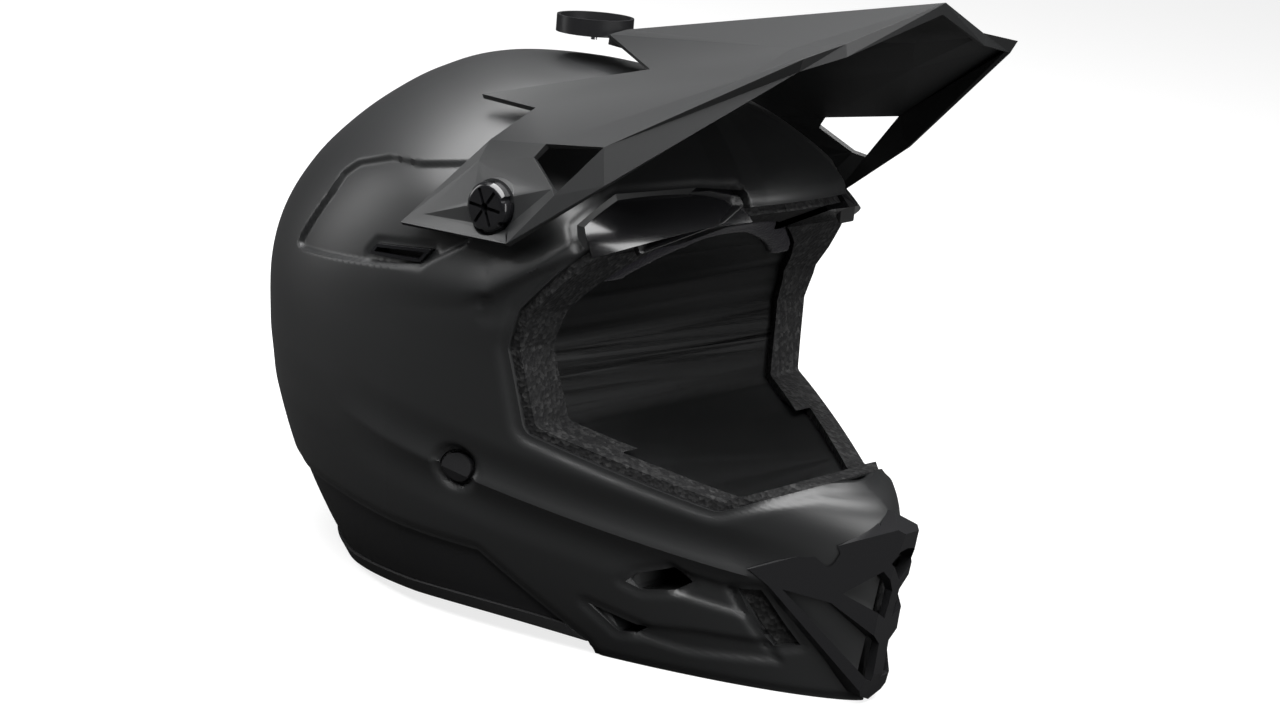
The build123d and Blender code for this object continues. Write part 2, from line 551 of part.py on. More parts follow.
def make_cheeks():
    """Cushions that clip to the liner on three snaps each, with soft round edges towards the face."""
    outer = LINER_INSET + LINER_WALL + SOFT_GAP
    face = make_face(Polyline(*CHEEK_PAD_OUTLINE, close=True))
    face = fillet(face.vertices(), CHEEK_ROUND)
    plane = Plane(origin=(CHEEK_INNER_X, 0, 0), x_dir=(0, 1, 0), z_dir=(1, 0, 0))
    form = extrude(plane * face, SHELL_HALF_WIDTH - CHEEK_INNER_X)
    soft = fillet(form.faces().sort_by(Axis.X)[0].edges(), CHEEK_EDGE)
    holes = [side_cylinder(SNAP_RADIUS + SOFT_GAP, 0, WIDE, y, z) - formed(outer + SNAP_REACH + SOFT_GAP)
             for y, z in SNAP_PLACES]
    grooves = [block(CHEEK_INNER_X, CHEEK_INNER_X + CHEEK_CHANNEL_DEPTH, y, y + CHEEK_CHANNEL_WIDTH, 0, TALL)
               for y in CHEEK_CHANNELS]
    add_pair("cheek_plate", cut(layer(outer, outer + CHEEK_PLATE_WALL, form), holes))
    add_pair("cheek_pad", cut(soft & formed(outer + CHEEK_PLATE_WALL), holes + grooves))
    studs = []
    for y, z in SNAP_PLACES:
        stud = side_cylinder(SNAP_RADIUS, 0, WIDE, y, z) & formed(LINER_INSET + LINER_WALL - SNAP_ROOT)
        studs.append(stud - formed(outer + SNAP_REACH))
    add_group("snap_studs", studs)


def make_screws():
    """Domed thumb screws of the visor pivot: six slots across the face and six notches in the rim."""
    back = VISOR_BOSS_FACE + FIT_GAP
    face_x = back + SCREW_HEAD_HEIGHT
    head = side_cylinder(SCREW_HEAD_RADIUS, back, face_x, PIVOT_Y, PIVOT_Z)
    head = fillet(head.edges().filter_by(GeomType.CIRCLE).sort_by(Axis.X)[-1], SCREW_DOME)
    cuts = [side_cylinder(SCREW_SOCKET_RADIUS, face_x - SCREW_SOCKET_DEPTH, WIDE, PIVOT_Y, PIVOT_Z)]
    reach = SCREW_SLOT_REACH - SCREW_SOCKET_RADIUS
    for i in range(SCREW_SLOTS):
        turn = 360 / SCREW_SLOTS * i
        slot = Pos(face_x, SCREW_SOCKET_RADIUS + reach / 2, 0) * Box(2 * SCREW_SLOT_DEPTH, reach, SCREW_SLOT_WIDTH)
        notch = side_cylinder(SCREW_NOTCH_RADIUS, back, WIDE, SCREW_HEAD_RADIUS, 0)
        cuts.append(Pos(0, PIVOT_Y, PIVOT_Z) * Rot(turn, 0, 0) * slot)
        cuts.append(Pos(0, PIVOT_Y, PIVOT_Z) * Rot(turn + 180 / SCREW_SLOTS, 0, 0) * notch)
    shank = side_cylinder(SCREW_SHANK_RADIUS, SCREW_END_X, back + FIT_GAP, PIVOT_Y, PIVOT_Z)
    add_pair("side_screw", cut(head, cuts) + shank)
    insert = side_cylinder(INSERT_RADIUS, SCREW_END_X, SCREW_END_X + INSERT_LENGTH, PIVOT_Y, PIVOT_Z)
    bore = side_cylinder(SCREW_SHANK_RADIUS + SHANK_GAP, 0, WIDE, PIVOT_Y, PIVOT_Z)
    add_group("screw_inserts", [(insert & formed(SHELL_WALL)) - bore])


def triangle(a, b, c):
    return Face(Wire.make_polygon([a, b, c], close=True))


def place_key(v):
    return round(v.X, 3), round(v.Y, 3), round(v.Z, 3)


def make_visor():
    """Faceted peak: the outer facets of one half, their mirror image and the same facets drawn in by the wall."""
    corners = {name: Vector(*place) for name, place in VISOR_CORNERS.items()}
    facets = [tuple(corners[name] for name in reversed(facet)) for facet in VISOR_FACETS]
    facets += [tuple(Vector(-v.X, v.Y, v.Z) for v in reversed(facet)) for facet in facets]
    normals = {}
    open_sides = {}
    for facet in facets:
        a, b, c = facet
        normal = (b - a).cross(c - a).normalized()
        for p, q in ((a, b), (b, c), (c, a)):
            normals[place_key(p)] = normals.get(place_key(p), Vector(0, 0, 0)) + normal
            if (place_key(q), place_key(p)) in open_sides:
                del open_sides[(place_key(q), place_key(p))]
            else:
                open_sides[(place_key(p), place_key(q))] = (p, q)
    inner = {place: Vector(*place) - normal.normalized() * VISOR_WALL for place, normal in normals.items()}
    faces = [triangle(*facet) for facet in facets]
    faces += [triangle(*(inner[place_key(v)] for v in reversed(facet))) for facet in facets]
    for p, q in open_sides.values():
        drawn_p, drawn_q = inner[place_key(p)], inner[place_key(q)]
        faces += [triangle(p, drawn_p, drawn_q), triangle(p, drawn_q, q)]
    visor = Solid(Shell(faces))
    bore = side_cylinder(SCREW_SHANK_RADIUS + SHANK_GAP, 0, WIDE, PIVOT_Y, PIVOT_Z)
    boss = side_cylinder(VISOR_BOSS_RADIUS, VISOR_BOSS_BACK, VISOR_BOSS_FACE, PIVOT_Y, PIVOT_Z) - formed(-LAYER_GAP)
    head_room = side_cylinder(VISOR_BOSS_RADIUS, VISOR_BOSS_FACE, WIDE, PIVOT_Y, PIVOT_Z)
    seat_room = side_cylinder(BOSS_RADIUS + LAYER_GAP, 0, VISOR_BOSS_BACK, PIVOT_Y, PIVOT_Z)
    visor = visor + boss + mirror(boss, about=Plane.YZ)
    for tool in (head_room, seat_room, bore):
        visor = visor - tool - mirror(tool, about=Plane.YZ)
    nodes["visor"] = one(visor)


def make_cup():
    tilt = Pos(*CUP_CENTRE) * Rot(-CUP_TILT, 0, 0)
    outer = Pos(0, 0, CUP_HEIGHT / 2) * Cylinder(CUP_RADIUS, CUP_HEIGHT)
    inner = Pos(0, 0, CUP_HEIGHT / 2 + CUP_FLOOR) * Cylinder(CUP_RADIUS - CUP_WALL, CUP_HEIGHT)
    seat = CUP_FLOOR - CUP_SCREW_SINK - CUP_SCREW_HEIGHT
    pocket = Pos(0, 0, seat - FIT_GAP + OVERRUN / 2) * Cylinder(CUP_SCREW_RADIUS + FIT_GAP, OVERRUN)
    bore = Cylinder(CUP_SHANK_RADIUS + SHANK_GAP, OVERRUN) + pocket
    plane = Plane(origin=(-CUP_TONGUE_HALF_WIDTH, 0, 0), x_dir=(0, 1, 0), z_dir=(1, 0, 0))
    tongue = extrude(plane * make_face(Polyline(*CUP_TONGUE, close=True)), 2 * CUP_TONGUE_HALF_WIDTH)
    cup = ((tilt * outer) + tongue) - (tilt * inner)
    nodes["camera_cup"] = one(cup - (tilt * bore) - nodes["visor"])
    screw = Pos(0, 0, seat + CUP_SCREW_HEIGHT / 2) * Cylinder(CUP_SCREW_RADIUS, CUP_SCREW_HEIGHT)
    screw += Pos(0, 0, seat - CUP_SHANK_LENGTH / 2) * Cylinder(CUP_SHANK_RADIUS, CUP_SHANK_LENGTH)
    nodes["cup_screw"] = one(tilt * screw)


def strap_band(side, route):
    """Flat webbing along a route given from the front as x and z."""
    plane = Plane(origin=(0, STRAP_Y + STRAP_WIDTH / 2, 0), x_dir=(1, 0, 0), z_dir=(0, -1, 0))
    return extrude(plane * trace(Polyline(*[(side * x, z) for x, z in route]), STRAP_THICKNESS), STRAP_WIDTH)


def across(radius, length, x, z):
    """Cylinder along Y, centred on the strap."""
    return Pos(x, STRAP_Y, z) * Rot(90, 0, 0) * Cylinder(radius, length)


def make_straps():
    """Short strap with two rings on the left, long strap folded up to a snap on the right."""
    x_end = STRAP_ROUTE[-1][0]
    tunnel = RING_WIRE + SHANK_GAP
    loop_z = STRAP_SHORT_END - tunnel
    short = strap_band(1, STRAP_ROUTE + [(x_end, STRAP_SHORT_END)])
    for x in (x_end - RING_SPREAD, x_end + RING_SPREAD):
        short += across(tunnel + LOOP_WALL, STRAP_WIDTH, x, loop_z)
    for x in (x_end - RING_SPREAD, x_end + RING_SPREAD):
        short -= across(tunnel, STRAP_WIDTH + OVERRUN, x, loop_z)
    x_rivet = STRAP_ROUTE[0][0]
    hole = side_cylinder(RIVET_SHANK_RADIUS, 0, WIDE, STRAP_Y, STRAP_RIVET_Z)
    nodes["strap_left"] = one(short - hole)
    x_tail = x_end - 2 * STRAP_TURN
    tail = [(x_end, STRAP_LONG_END + STRAP_TURN), (x_end - STRAP_TURN, STRAP_LONG_END),
            (x_tail, STRAP_LONG_END + STRAP_TURN), (x_tail, STRAP_TAIL_TOP)]
    nodes["strap_right"] = one(strap_band(-1, STRAP_ROUTE + tail) - mirror(hole, about=Plane.YZ))
    half_strap = STRAP_THICKNESS / 2
    socket = side_cylinder(STRAP_SNAP_RADIUS, -x_end + half_strap, -x_tail - half_strap, STRAP_Y, STRAP_SNAP_Z)
    cap = side_cylinder(STRAP_SNAP_RADIUS, -x_tail + half_strap, -x_tail + half_strap + RIVET_HEAD, STRAP_Y, STRAP_SNAP_Z)
    nodes["strap_snap"] = [socket, cap]
    for name, x in (("strap_ring_inner", x_end - RING_SPREAD), ("strap_ring_outer", x_end + RING_SPREAD)):
        ring = across(RING_WIRE, 2 * RING_HALF_WIDTH, x, loop_z)
        ring += across(RING_WIRE, 2 * RING_HALF_WIDTH, x, loop_z - RING_DROP)
        for y in (STRAP_Y - RING_HALF_WIDTH, STRAP_Y + RING_HALF_WIDTH):
            ring += Pos(x, y, loop_z - RING_DROP / 2) * Cylinder(RING_WIRE, RING_DROP)
            ring += Pos(x, y, loop_z) * Sphere(RING_WIRE)
            ring += Pos(x, y, loop_z - RING_DROP) * Sphere(RING_WIRE)
        nodes[name] = one(ring)
    head = side_cylinder(RIVET_RADIUS, x_rivet - half_strap - RIVET_HEAD, x_rivet - half_strap, STRAP_Y, STRAP_RIVET_Z)
    shank = side_cylinder(RIVET_SHANK_RADIUS, x_rivet - half_strap, x_rivet + RIVET_DEPTH, STRAP_Y, STRAP_RIVET_Z)
    add_group("strap_rivets", [head + shank])


for make in (make_shell, make_rim, make_liners, make_vents, make_mouthpiece, make_pads, make_cheeks, make_screws,
             make_visor, make_cup, make_straps):
    make()

# The origin goes to the bottom centre of the helmet's box
pieces = {name: shape if isinstance(shape, list) else [shape] for name, shape in nodes.items()}
boxes = [solid.bounding_box() for solids in pieces.values() for solid in solids]
middle = (min(box.min.Y for box in boxes) + max(box.max.Y for box in boxes)) / 2
lowest = min(box.min.Z for box in boxes)
print(f"Shift to the origin: y {-middle:.3f}, z {-lowest:.3f}")
os.makedirs("parts", exist_ok=True)
for name, solids in pieces.items():
    moved = [Pos(0, -middle, -lowest) * solid for solid in solids]
    export_step(moved[0] if len(moved) == 1 else Compound(children=moved), f"parts/{name}.step")
    print(f"{name}: {len(moved)} solid, valid {all(solid.is_valid for solid in moved)}, "
          f"{sum(solid.volume for solid in moved):.0f} mm3")
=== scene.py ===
"""Looks of the full-face helmet: modelled shell, vents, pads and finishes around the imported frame.

Places are in the part's own millimetres, linked to the frame by the visor's pivot. Meshes are in metres.
"""
import json
from contextlib import contextmanager
from math import cos, pi, radians, sin

import bmesh
import bpy
import numpy as np
from mathutils import Matrix, Vector


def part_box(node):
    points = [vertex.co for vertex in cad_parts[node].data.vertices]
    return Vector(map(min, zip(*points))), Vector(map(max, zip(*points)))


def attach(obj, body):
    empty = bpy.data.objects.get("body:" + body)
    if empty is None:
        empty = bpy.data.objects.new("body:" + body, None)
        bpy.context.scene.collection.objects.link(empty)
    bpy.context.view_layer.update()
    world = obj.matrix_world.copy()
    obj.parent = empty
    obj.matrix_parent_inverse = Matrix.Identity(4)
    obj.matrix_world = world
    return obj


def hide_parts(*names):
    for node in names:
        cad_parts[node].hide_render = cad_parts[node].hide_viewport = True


MM = 0.001
TINY = 1e-12
FAR = 1e9
SIDES = (("left", 1), ("right", -1))

# Form of the shell: the same shares and sizes that the solids are made with
SHELL_HEIGHT = 254.0
SHELL_HALF_WIDTH = 126.0
CHIN_REACH = 182.0
BACK_REACH = 177.0
SECTION_SHARES = np.array([
    (0.000, 0.762, 0.989, 0.667, 0.068, 1.35, 2.10),
    (0.079, 0.849, 0.989, 0.751, 0.090, 1.35, 2.10),
    (0.177, 0.921, 0.995, 0.853, 0.113, 1.36, 2.10),
    (0.295, 0.968, 0.995, 0.938, 0.136, 1.42, 2.15),
    (0.354, 0.984, 0.967, 0.965, 0.141, 1.48, 2.15),
    (0.413, 0.992, 0.868, 0.983, 0.147, 1.60, 2.18),
    (0.531, 1.000, 0.802, 1.000, 0.153, 1.80, 2.20),
    (0.630, 0.998, 0.758, 0.977, 0.153, 2.10, 2.13),
    (0.728, 0.968, 0.714, 0.904, 0.153, 2.25, 2.04),
    (0.807, 0.902, 0.654, 0.808, 0.147, 2.25, 2.00),
    (0.874, 0.772, 0.577, 0.706, 0.136, 2.10, 2.02),
    (0.929, 0.603, 0.478, 0.599, 0.113, 2.00, 2.05),
    (0.972, 0.413, 0.319, 0.463, 0.085, 2.00, 2.00),
    (1.000, 0.150, 0.050, 0.240, 0.068, 2.00, 2.00),
])
CROWN_THINNING_SHARE = 0.603
LEAN_SHARE = 0.17
LEAN_FULL_SHARE = 0.40
LEAN_NONE_SHARE = 0.74
LOWEST_SHARE = -0.16
HIGHEST_SHARE = 0.999
ROW_SPREAD = 0.93
SOLVE_ROUNDS = 14
SOLVE_PACE = 0.6
CREASE_LEVEL_SHARE = 0.315
CREASE_HALF_SHARE = 0.04
CREASE_FADE_SHARE = 0.05
CREASE_FRONT_SHARE = 0.88
CREASE_FRONT_FADE_SHARE = 0.16
CREASE_BACK_SHARE = 0.32
CREASE_BACK_FADE_SHARE = 0.45
CREASE_RISE = 1.8
CREASE_DIP = 1.6
SHELL_WALL = 3.6

# Reach of the cutting tools past the part, and the grids' rows and columns
WIDE = 150.0
DEEP = 220.0
UNDER = -100.0
SHELL_GRID = (280, 680)
BROW_GRID = (260, 420)
RIM_GRID = (200, 360)
INNER_GRID = (90, 220)
HEAD_CENTRE = (0.0, 10.0, 110.0)

# Outlines from the side, as y and z
PORT_CORNERS = [
    (-43.0, 104.0), (-33.5, 142.0), (-37.0, 161.0), (-62.0, 198.0), (-92.0, 216.0), (-118.0, 223.0),
    (-240.0, 243.0), (-240.0, 101.0), (-153.0, 101.0), (-123.0, 84.0),
]
PORT_ROUND = 7.0
STEP_LINE = [
    (200.0, 41.0), (60.0, 44.0), (0.0, 41.0), (-24.0, 40.5), (-72.0, 6.0), (-80.0, -20.0), (200.0, -20.0),
]
UPPER_VENT = [(-89.0, 42.0), (-93.0, 47.0), (-107.0, 53.0), (-114.0, 47.0), (-108.0, 42.0), (-96.0, 39.5)]
LOWER_VENT = [(-73.0, 27.0), (-97.0, 20.0), (-93.0, 16.5), (-86.0, 15.5)]
UPPER_GROOVE = [(-106.0, 53.0), (-133.0, 48.0), (-137.0, 36.0), (-108.0, 41.0)]
LOWER_GROOVE = [
    (-96.0, 21.0), (-118.0, 23.5), (-147.0, 24.0), (-151.0, 15.5), (-116.0, 12.5), (-92.0, 15.5),
]
MESH_WINDOW = [(-131.0, 48.0), (-141.0, 49.5), (-157.0, 25.0), (-147.0, 22.5)]
RECESS = [
    (106.0, 152.0), (97.0, 168.0), (89.0, 182.0), (85.0, 193.0), (77.0, 200.0), (56.0, 208.0), (36.0, 210.0),
    (12.0, 216.0), (-12.0, 206.0), (-6.0, 184.0), (14.0, 169.5), (30.0, 165.0), (47.0, 161.5), (76.0, 156.5),
]
RECESS_ROUND = 8.0
SIDE_SLOT = [(48.0, 165.0), (44.0, 171.0), (11.0, 177.0), (16.0, 169.5)]
BROW_NOTCH = [
    (-57.0, 217.0), (-80.0, 223.5), (-103.0, 225.0), (-108.0, 214.0), (-92.0, 208.0), (-62.0, 190.0),
    (-52.0, 203.0),
]

# Lower rim, skirt and rim strip
RIM_ARCH = 8.0
RIM_REAR_FOOT = 72.0
RIM_CHIN_FOOT = -122.0
ARCH_STEPS = 24
ARCH_FOOT = -60.0
TRIM_HEIGHT = 6.0
TRIM_DEPTH = 5.5
TRIM_INSET = 0.8
TRIM_BEVEL = 1.4
SKIRT_INSET = 3.0
SKIRT_WALL = 2.2
FIT_GAP = 0.15

# Openings at the back, the side and the mouth
EXHAUST_HALF_WIDTH = 34.0
EXHAUST_LOW = 118.0
EXHAUST_HIGH = 138.0
TOP_SLOT_PLACE = (34.0, 206.0)
TOP_SLOT_SIZE = (26.0, 5.0)
PORT_HOLE_PLACE = (-13.0, 79.0)
PORT_HOLE_RADIUS = 8.6
MOUTH_OUTLINE = [(0.0, 92.0), (7.0, 88.0), (50.0, 60.0), (43.0, 53.0), (8.5, 5.0), (0.0, 1.5)]
MOUTH_FRAME = 4.0
VENT_START = 7.3
PIVOT_Y = -18.5

# Edge rolls and soft walls that only the looks carry
ROLL_SHARE = 0.4
EDGE_FLAT = 2.0
PORT_ROLL = 5.0
RIM_ROLL = 2.6
CHIN_RIM_REACH = 60.0
VENT_ROLL = 2.6
RECESS_DEPTH = 2.4
RECESS_WALL = 2.0
RECESS_INNER_X = 40.0
GROOVE_DEPTH = 2.0
GROOVE_WALL = 3.6
HOLE_DISH = 3.2
HOLE_DISH_REACH = 3.6
FLANK_X = 60.0

# Wing over the port's rear corner: its line, and its lift and lower reach along y
WING_FRONT = -90.0
WING_REAR = 45.0
WING_LINE = [
    (WING_REAR, 162.5), (28.8, 162.6), (8.5, 163.3), (-8.4, 164.6), (-24.4, 166.9), (-35.8, 175.6),
    (-50.6, 187.2), (-65.7, 199.4),
]
WING_LIFT = [
    (-66.0, 0.6), (-56.0, 2.2), (-46.0, 3.8), (-24.0, 3.8), (-10.0, 2.2), (12.0, 1.3), (WING_REAR, 0.0),
]
WING_DROP = [(-32.0, 3.0), (-24.0, 4.0), (-10.0, 11.0), (WING_REAR, 20.0)]
WING_REACH = 15.0
WING_SINK = 1.0
WING_SINK_REAR = -20.0
WING_SINK_FLAT = 10.0
WING_SINK_FADE = 8.0

# Forehead creases, as y and x of both ends
FOREHEAD_CREASE = [(-54.5, 19.0), (-95.8, 38.8)]
FOREHEAD_START = 25.0
FOREHEAD_FADE = 35.0
FOREHEAD_LEVEL = 205.0
FOREHEAD_LEVEL_FADE = 12.0
CREASE_LIFT = 1.3
CREASE_REACH = 13.0

# Brow vents: the body on the form and the faceted front, whose outline is x, y and z
BROW_CENTRE_HALF = 38.0
BROW_INSET = 3.2
BROW_DEPTH = 11.0
BROW_ROUND = 1.5
BROW_ROUND_STEPS = 3
BROW_FACE = [
    (83.0, -51.0, 214.0), (80.0, -55.0, 215.5), (49.0, -84.0, 223.0), (39.5, -93.0, 222.0),
    (39.0, -96.5, 218.5), (52.0, -96.0, 211.0), (84.0, -76.0, 194.0), (83.0, -70.0, 201.0),
    (89.0, -62.0, 199.0),
]
BROW_FACE_CENTRE = (0.0, 20.0, 150.0)
BROW_FACE_FRAME_SHARE = 0.86
BROW_FACE_FRAME_SINK = 0.4
BROW_FACE_SHARE = 0.70
BROW_FACE_SINK = 2.4
BROW_FACE_CROWN = 0.9
BROW_FACE_BACK_SHARE = 0.95
BROW_FACE_THICK = 7.0
BROW_FACE_SHARP = 20
BROW_FACE_BEVEL = 0.7

# Cushions: node, body, fill, smoothing rounds and finish
PADS = [
    ("cheek_pad_left", "cheek_left", 0.7, 10, "cheek_fabric"),
    ("cheek_pad_right", "cheek_right", 0.7, 10, "cheek_fabric"),
    ("crown_pad", "helmet", 0.5, 26, "pad_fabric"),
    ("brow_pad", "helmet", 0.6, 10, "pad_fabric"),
    ("neck_roll", "helmet", 0.7, 10, "pad_fabric"),
    ("chin_pad", "helmet", 0.5, 10, "cheek_fabric"),
]
PAD_VOXEL = 2.4
PAD_EASE = 0.5

# Angles in degrees over which an edge is sharp or rolled, and the rolls' widths
SHARP = 35
SHELL_SHARP = 40
SOFT_SHARP = 180
FOLD_SHARP = 12
VISOR_SHARP = 17
VISOR_FLAT = 1.0
VISOR_MERGE = 0.02
VISOR_BEVEL = 1.2
NODE_BEVELS = [("mouthpiece", 0.9), ("camera_cup", 0.5), ("side_screw_left", 0.3), ("side_screw_right", 0.3)]

# Limits that keep narrow corners from running away, and the arc of a rounded corner
CORNER_SHARE = 0.45
LEAST_TANGENT = 0.05
LEAST_SPREAD = 0.3
ARC_STEPS = 6
DISC_SIDES = 48

# Grain and relief of the finishes
COAT_ROUGHNESS = 0.12
GRAIN_DETAIL = 4.0
GRAIN_DISTANCE = 0.0004
CELL_DISTANCE = 0.0006
BEAD_ROUGHNESS = 0.7
BEAD_SPECULAR = 0.3
BEAD_CONTRAST = 3.0
KNIT_ROUGHNESS = 0.95
KNIT_SPECULAR = 0.1
KNIT_SHEEN = 0.12
KNIT_SHEEN_ROUGHNESS = 0.5
KNIT_RELIEF = 0.6
KNIT_MOTTLE = 9
KNIT_DETAIL = 5.0

# Camera of the photograph, in the part's millimetres before its shift
CAMERA_PLACE = (-1145.4, -864.7, 517.9)
CAMERA_RIGHT = (0.6184, -0.7719, 0.1473)
CAMERA_UP = (0.1248, 0.2815, 0.9514)
CAMERA_FORWARD = (0.7759, 0.5700, -0.2704)
CAMERA_LENS = 86.6
CAMERA_SENSOR = 36.0
CAMERA_END = 50

# Studio in metres and watts: name, place, target, width, height, power
WORLD_STRENGTH = 0.03
FLOOR_HALF = 6
FLOOR_SEEN = 0.25
FLOOR_GLOW = 0.80
FLOOR_UNSEEN = 0.035
FLOOR_ROUGHNESS = 0.9
SOFT_BOXES = [
    ("overhead", (-0.20, 0.0, 1.35), (0, 0, 0.15), 1.9, 1.9, 88.0),
    ("front", (0.10, -1.8, 0.50), (0, 0, 0.1), 1.5, 1.1, 20.0),
    ("back_left", (-0.75, 1.6, 0.35), (0, 0, 0.15), 0.5, 1.0, 5.0),
]

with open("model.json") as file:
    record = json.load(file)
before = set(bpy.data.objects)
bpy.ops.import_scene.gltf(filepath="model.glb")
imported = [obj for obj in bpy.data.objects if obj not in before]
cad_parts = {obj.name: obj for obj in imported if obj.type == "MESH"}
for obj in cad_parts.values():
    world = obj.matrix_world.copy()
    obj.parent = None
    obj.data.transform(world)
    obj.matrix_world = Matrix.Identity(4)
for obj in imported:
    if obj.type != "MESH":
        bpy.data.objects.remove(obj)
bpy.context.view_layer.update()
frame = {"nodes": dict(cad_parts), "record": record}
shift_y = (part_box("side_screw_right")[0][1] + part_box("side_screw_right")[1][1]) / 2 / MM - PIVOT_Y


# The form and its outlines
def smoothstep(t):
    t = np.clip(t, 0.0, 1.0)
    return t * t * (3 - 2 * t)


def rows_at(share):
    """Shares of the horizontal sections at many heights, with smooth slopes between the table's rows."""
    rows = SECTION_SHARES
    index = np.clip(np.searchsorted(rows[:, 0], share, side="left") - 1, 0, len(rows) - 2)
    before, low, high = rows[np.maximum(index - 1, 0)], rows[index], rows[index + 1]
    after = rows[np.minimum(index + 2, len(rows) - 1)]
    span = (high[:, 0] - low[:, 0])[:, None]
    t = np.minimum((share - low[:, 0])[:, None] / span, 1.0)
    slope_low = (high - before) / np.maximum(high[:, :1] - before[:, :1], TINY) * span
    slope_low = np.where((index > 0)[:, None], slope_low, high - low)
    slope_high = (after - low) / np.maximum(after[:, :1] - low[:, :1], TINY) * span
    slope_high = np.where((index < len(rows) - 2)[:, None], slope_high, high - low)
    square, cube = t * t, t * t * t
    curve = (2 * cube - 3 * square + 1) * low + (cube - 2 * square + t) * slope_low
    curve += (3 * square - 2 * cube) * high + (cube - square) * slope_high
    return np.where(t < 0, low + (high - low) * t, curve)


def flat_point(angle, height, inset):
    """Place in x and y at an angle round the level section of a height."""
    rows = rows_at(height / (SHELL_HEIGHT - inset))
    wide, front, back, place, round_front, round_back = rows[:, 1:].T
    inset = inset * np.minimum(1, wide / CROWN_THINNING_SHARE)
    half = wide * SHELL_HALF_WIDTH - inset
    y_front = -front * CHIN_REACH + inset
    y_back = back * BACK_REACH - inset
    y_wide = place * BACK_REACH
    c, s = np.cos(angle), np.sin(angle)
    power = 2 / np.where(c > 0, round_back, round_front)
    reach = np.where(c > 0, y_back, y_front) - y_wide
    return half * np.copysign(np.abs(s) ** power, s), y_wide + reach * np.abs(c) ** power


def form_points(inset, rows, columns):
    """Grid of points on the helmet's form, drawn in by an inset: rows of leaning sections, columns round it.

    The columns stand half a step beside the middle plane, so that no point lies on it.
    """
    spread = np.sin(np.linspace(0.0, 1.0, rows) * pi / 2 * ROW_SPREAD) / sin(pi / 2 * ROW_SPREAD)
    share = LOWEST_SHARE + (HIGHEST_SHARE - LOWEST_SHARE) * spread
    slope = LEAN_SHARE * smoothstep((LEAN_NONE_SHARE - share) / (LEAN_NONE_SHARE - LEAN_FULL_SHARE))
    level, slope, share = (np.repeat(a, columns) for a in (share * (SHELL_HEIGHT - inset), slope, share))
    angle = np.tile(2 * pi * (np.arange(columns) + 0.5) / columns, rows)
    height = level.copy()
    for _ in range(SOLVE_ROUNDS):
        x, y = flat_point(angle, height, inset)
        height += SOLVE_PACE * (level + slope * y - height)
    distance = np.abs(share - CREASE_LEVEL_SHARE)
    turn = np.clip(distance / CREASE_HALF_SHARE, 0, 1) * pi / 2
    ridge = CREASE_RISE - (CREASE_RISE + CREASE_DIP) * np.sin(turn)
    fade = (1 + np.cos(np.clip((distance - CREASE_HALF_SHARE) / CREASE_FADE_SHARE, 0, 1) * pi)) / 2
    rise = np.where(distance < CREASE_HALF_SHARE, ridge, -CREASE_DIP * fade)
    front = np.clip((y + CHIN_REACH * CREASE_FRONT_SHARE) / (CHIN_REACH * CREASE_FRONT_FADE_SHARE), 0, 1)
    back = np.clip((BACK_REACH * CREASE_BACK_SHARE - y) / (BACK_REACH * CREASE_BACK_FADE_SHARE), 0, 1)
    lift = 1 + rise * front * back / SHELL_HALF_WIDTH
    x, y = x * lift, y * lift
    return np.stack([x, y, level + slope * y], axis=1)


def line_gap(y, z, start, end):
    """Distance from points to the straight line between two corners."""
    (ay, az), (by, bz) = start, end
    ey, ez = by - ay, bz - az
    t = np.clip(((y - ay) * ey + (z - az) * ez) / (ey * ey + ez * ez), 0, 1)
    return np.hypot(y - ay - t * ey, z - az - t * ez)


def outline_distance(y, z, outline):
    """Distance from points to a closed outline, negative inside it."""
    corners = np.array(outline)
    least = np.full(y.shape, FAR)
    inside = np.zeros(y.shape, dtype=bool)
    for start, end in zip(corners, np.roll(corners, -1, axis=0)):
        (ay, az), (by, bz) = start, end
        least = np.minimum(least, line_gap(y, z, start, end))
        inside ^= ((az > z) != (bz > z)) & (y < (by - ay) * (z - az) / (bz - az + TINY) + ay)
    return np.where(inside, -least, least)


def corner_runs(points):
    """Each corner of a closed outline with the ones before and after it."""
    return zip(points[-1:] + points[:-1], points, points[1:] + points[:1])


def rounded(outline, radius, steps=ARC_STEPS):
    """The outline with its corners turned into short arcs."""
    result = []
    for before, corner, after in corner_runs([Vector(p) for p in outline]):
        into, out = (before - corner).normalized(), (after - corner).normalized()
        cut = radius / max(np.tan(into.angle(out) / 2), LEAST_TANGENT)
        cut = min(cut, (before - corner).length * CORNER_SHARE, (after - corner).length * CORNER_SHARE)
        start, end = corner + into * cut, corner + out * cut
        for i in range(steps + 1):
            t = i / steps
            result.append(tuple(start * (1 - t) ** 2 + corner * (2 * t * (1 - t)) + end * t * t))
    return result


def grown(outline, amount):
    """The outline moved outwards by an amount, or inwards by a negative one."""
    points = [Vector(p) for p in outline]
    area = sum(a.x * b.y - b.x * a.y for a, b in zip(points, points[1:] + points[:1]))
    turn = 1 if area > 0 else -1
    result = []
    for before, corner, after in corner_runs(points):
        first, second = (corner - before).normalized(), (after - corner).normalized()
        normal1, normal2 = Vector((first.y, -first.x)) * turn, Vector((second.y, -second.x)) * turn
        spread = (normal1 + normal2).normalized()
        result.append(tuple(corner + spread * amount / max(spread.dot(normal1), LEAST_SPREAD)))
    return result


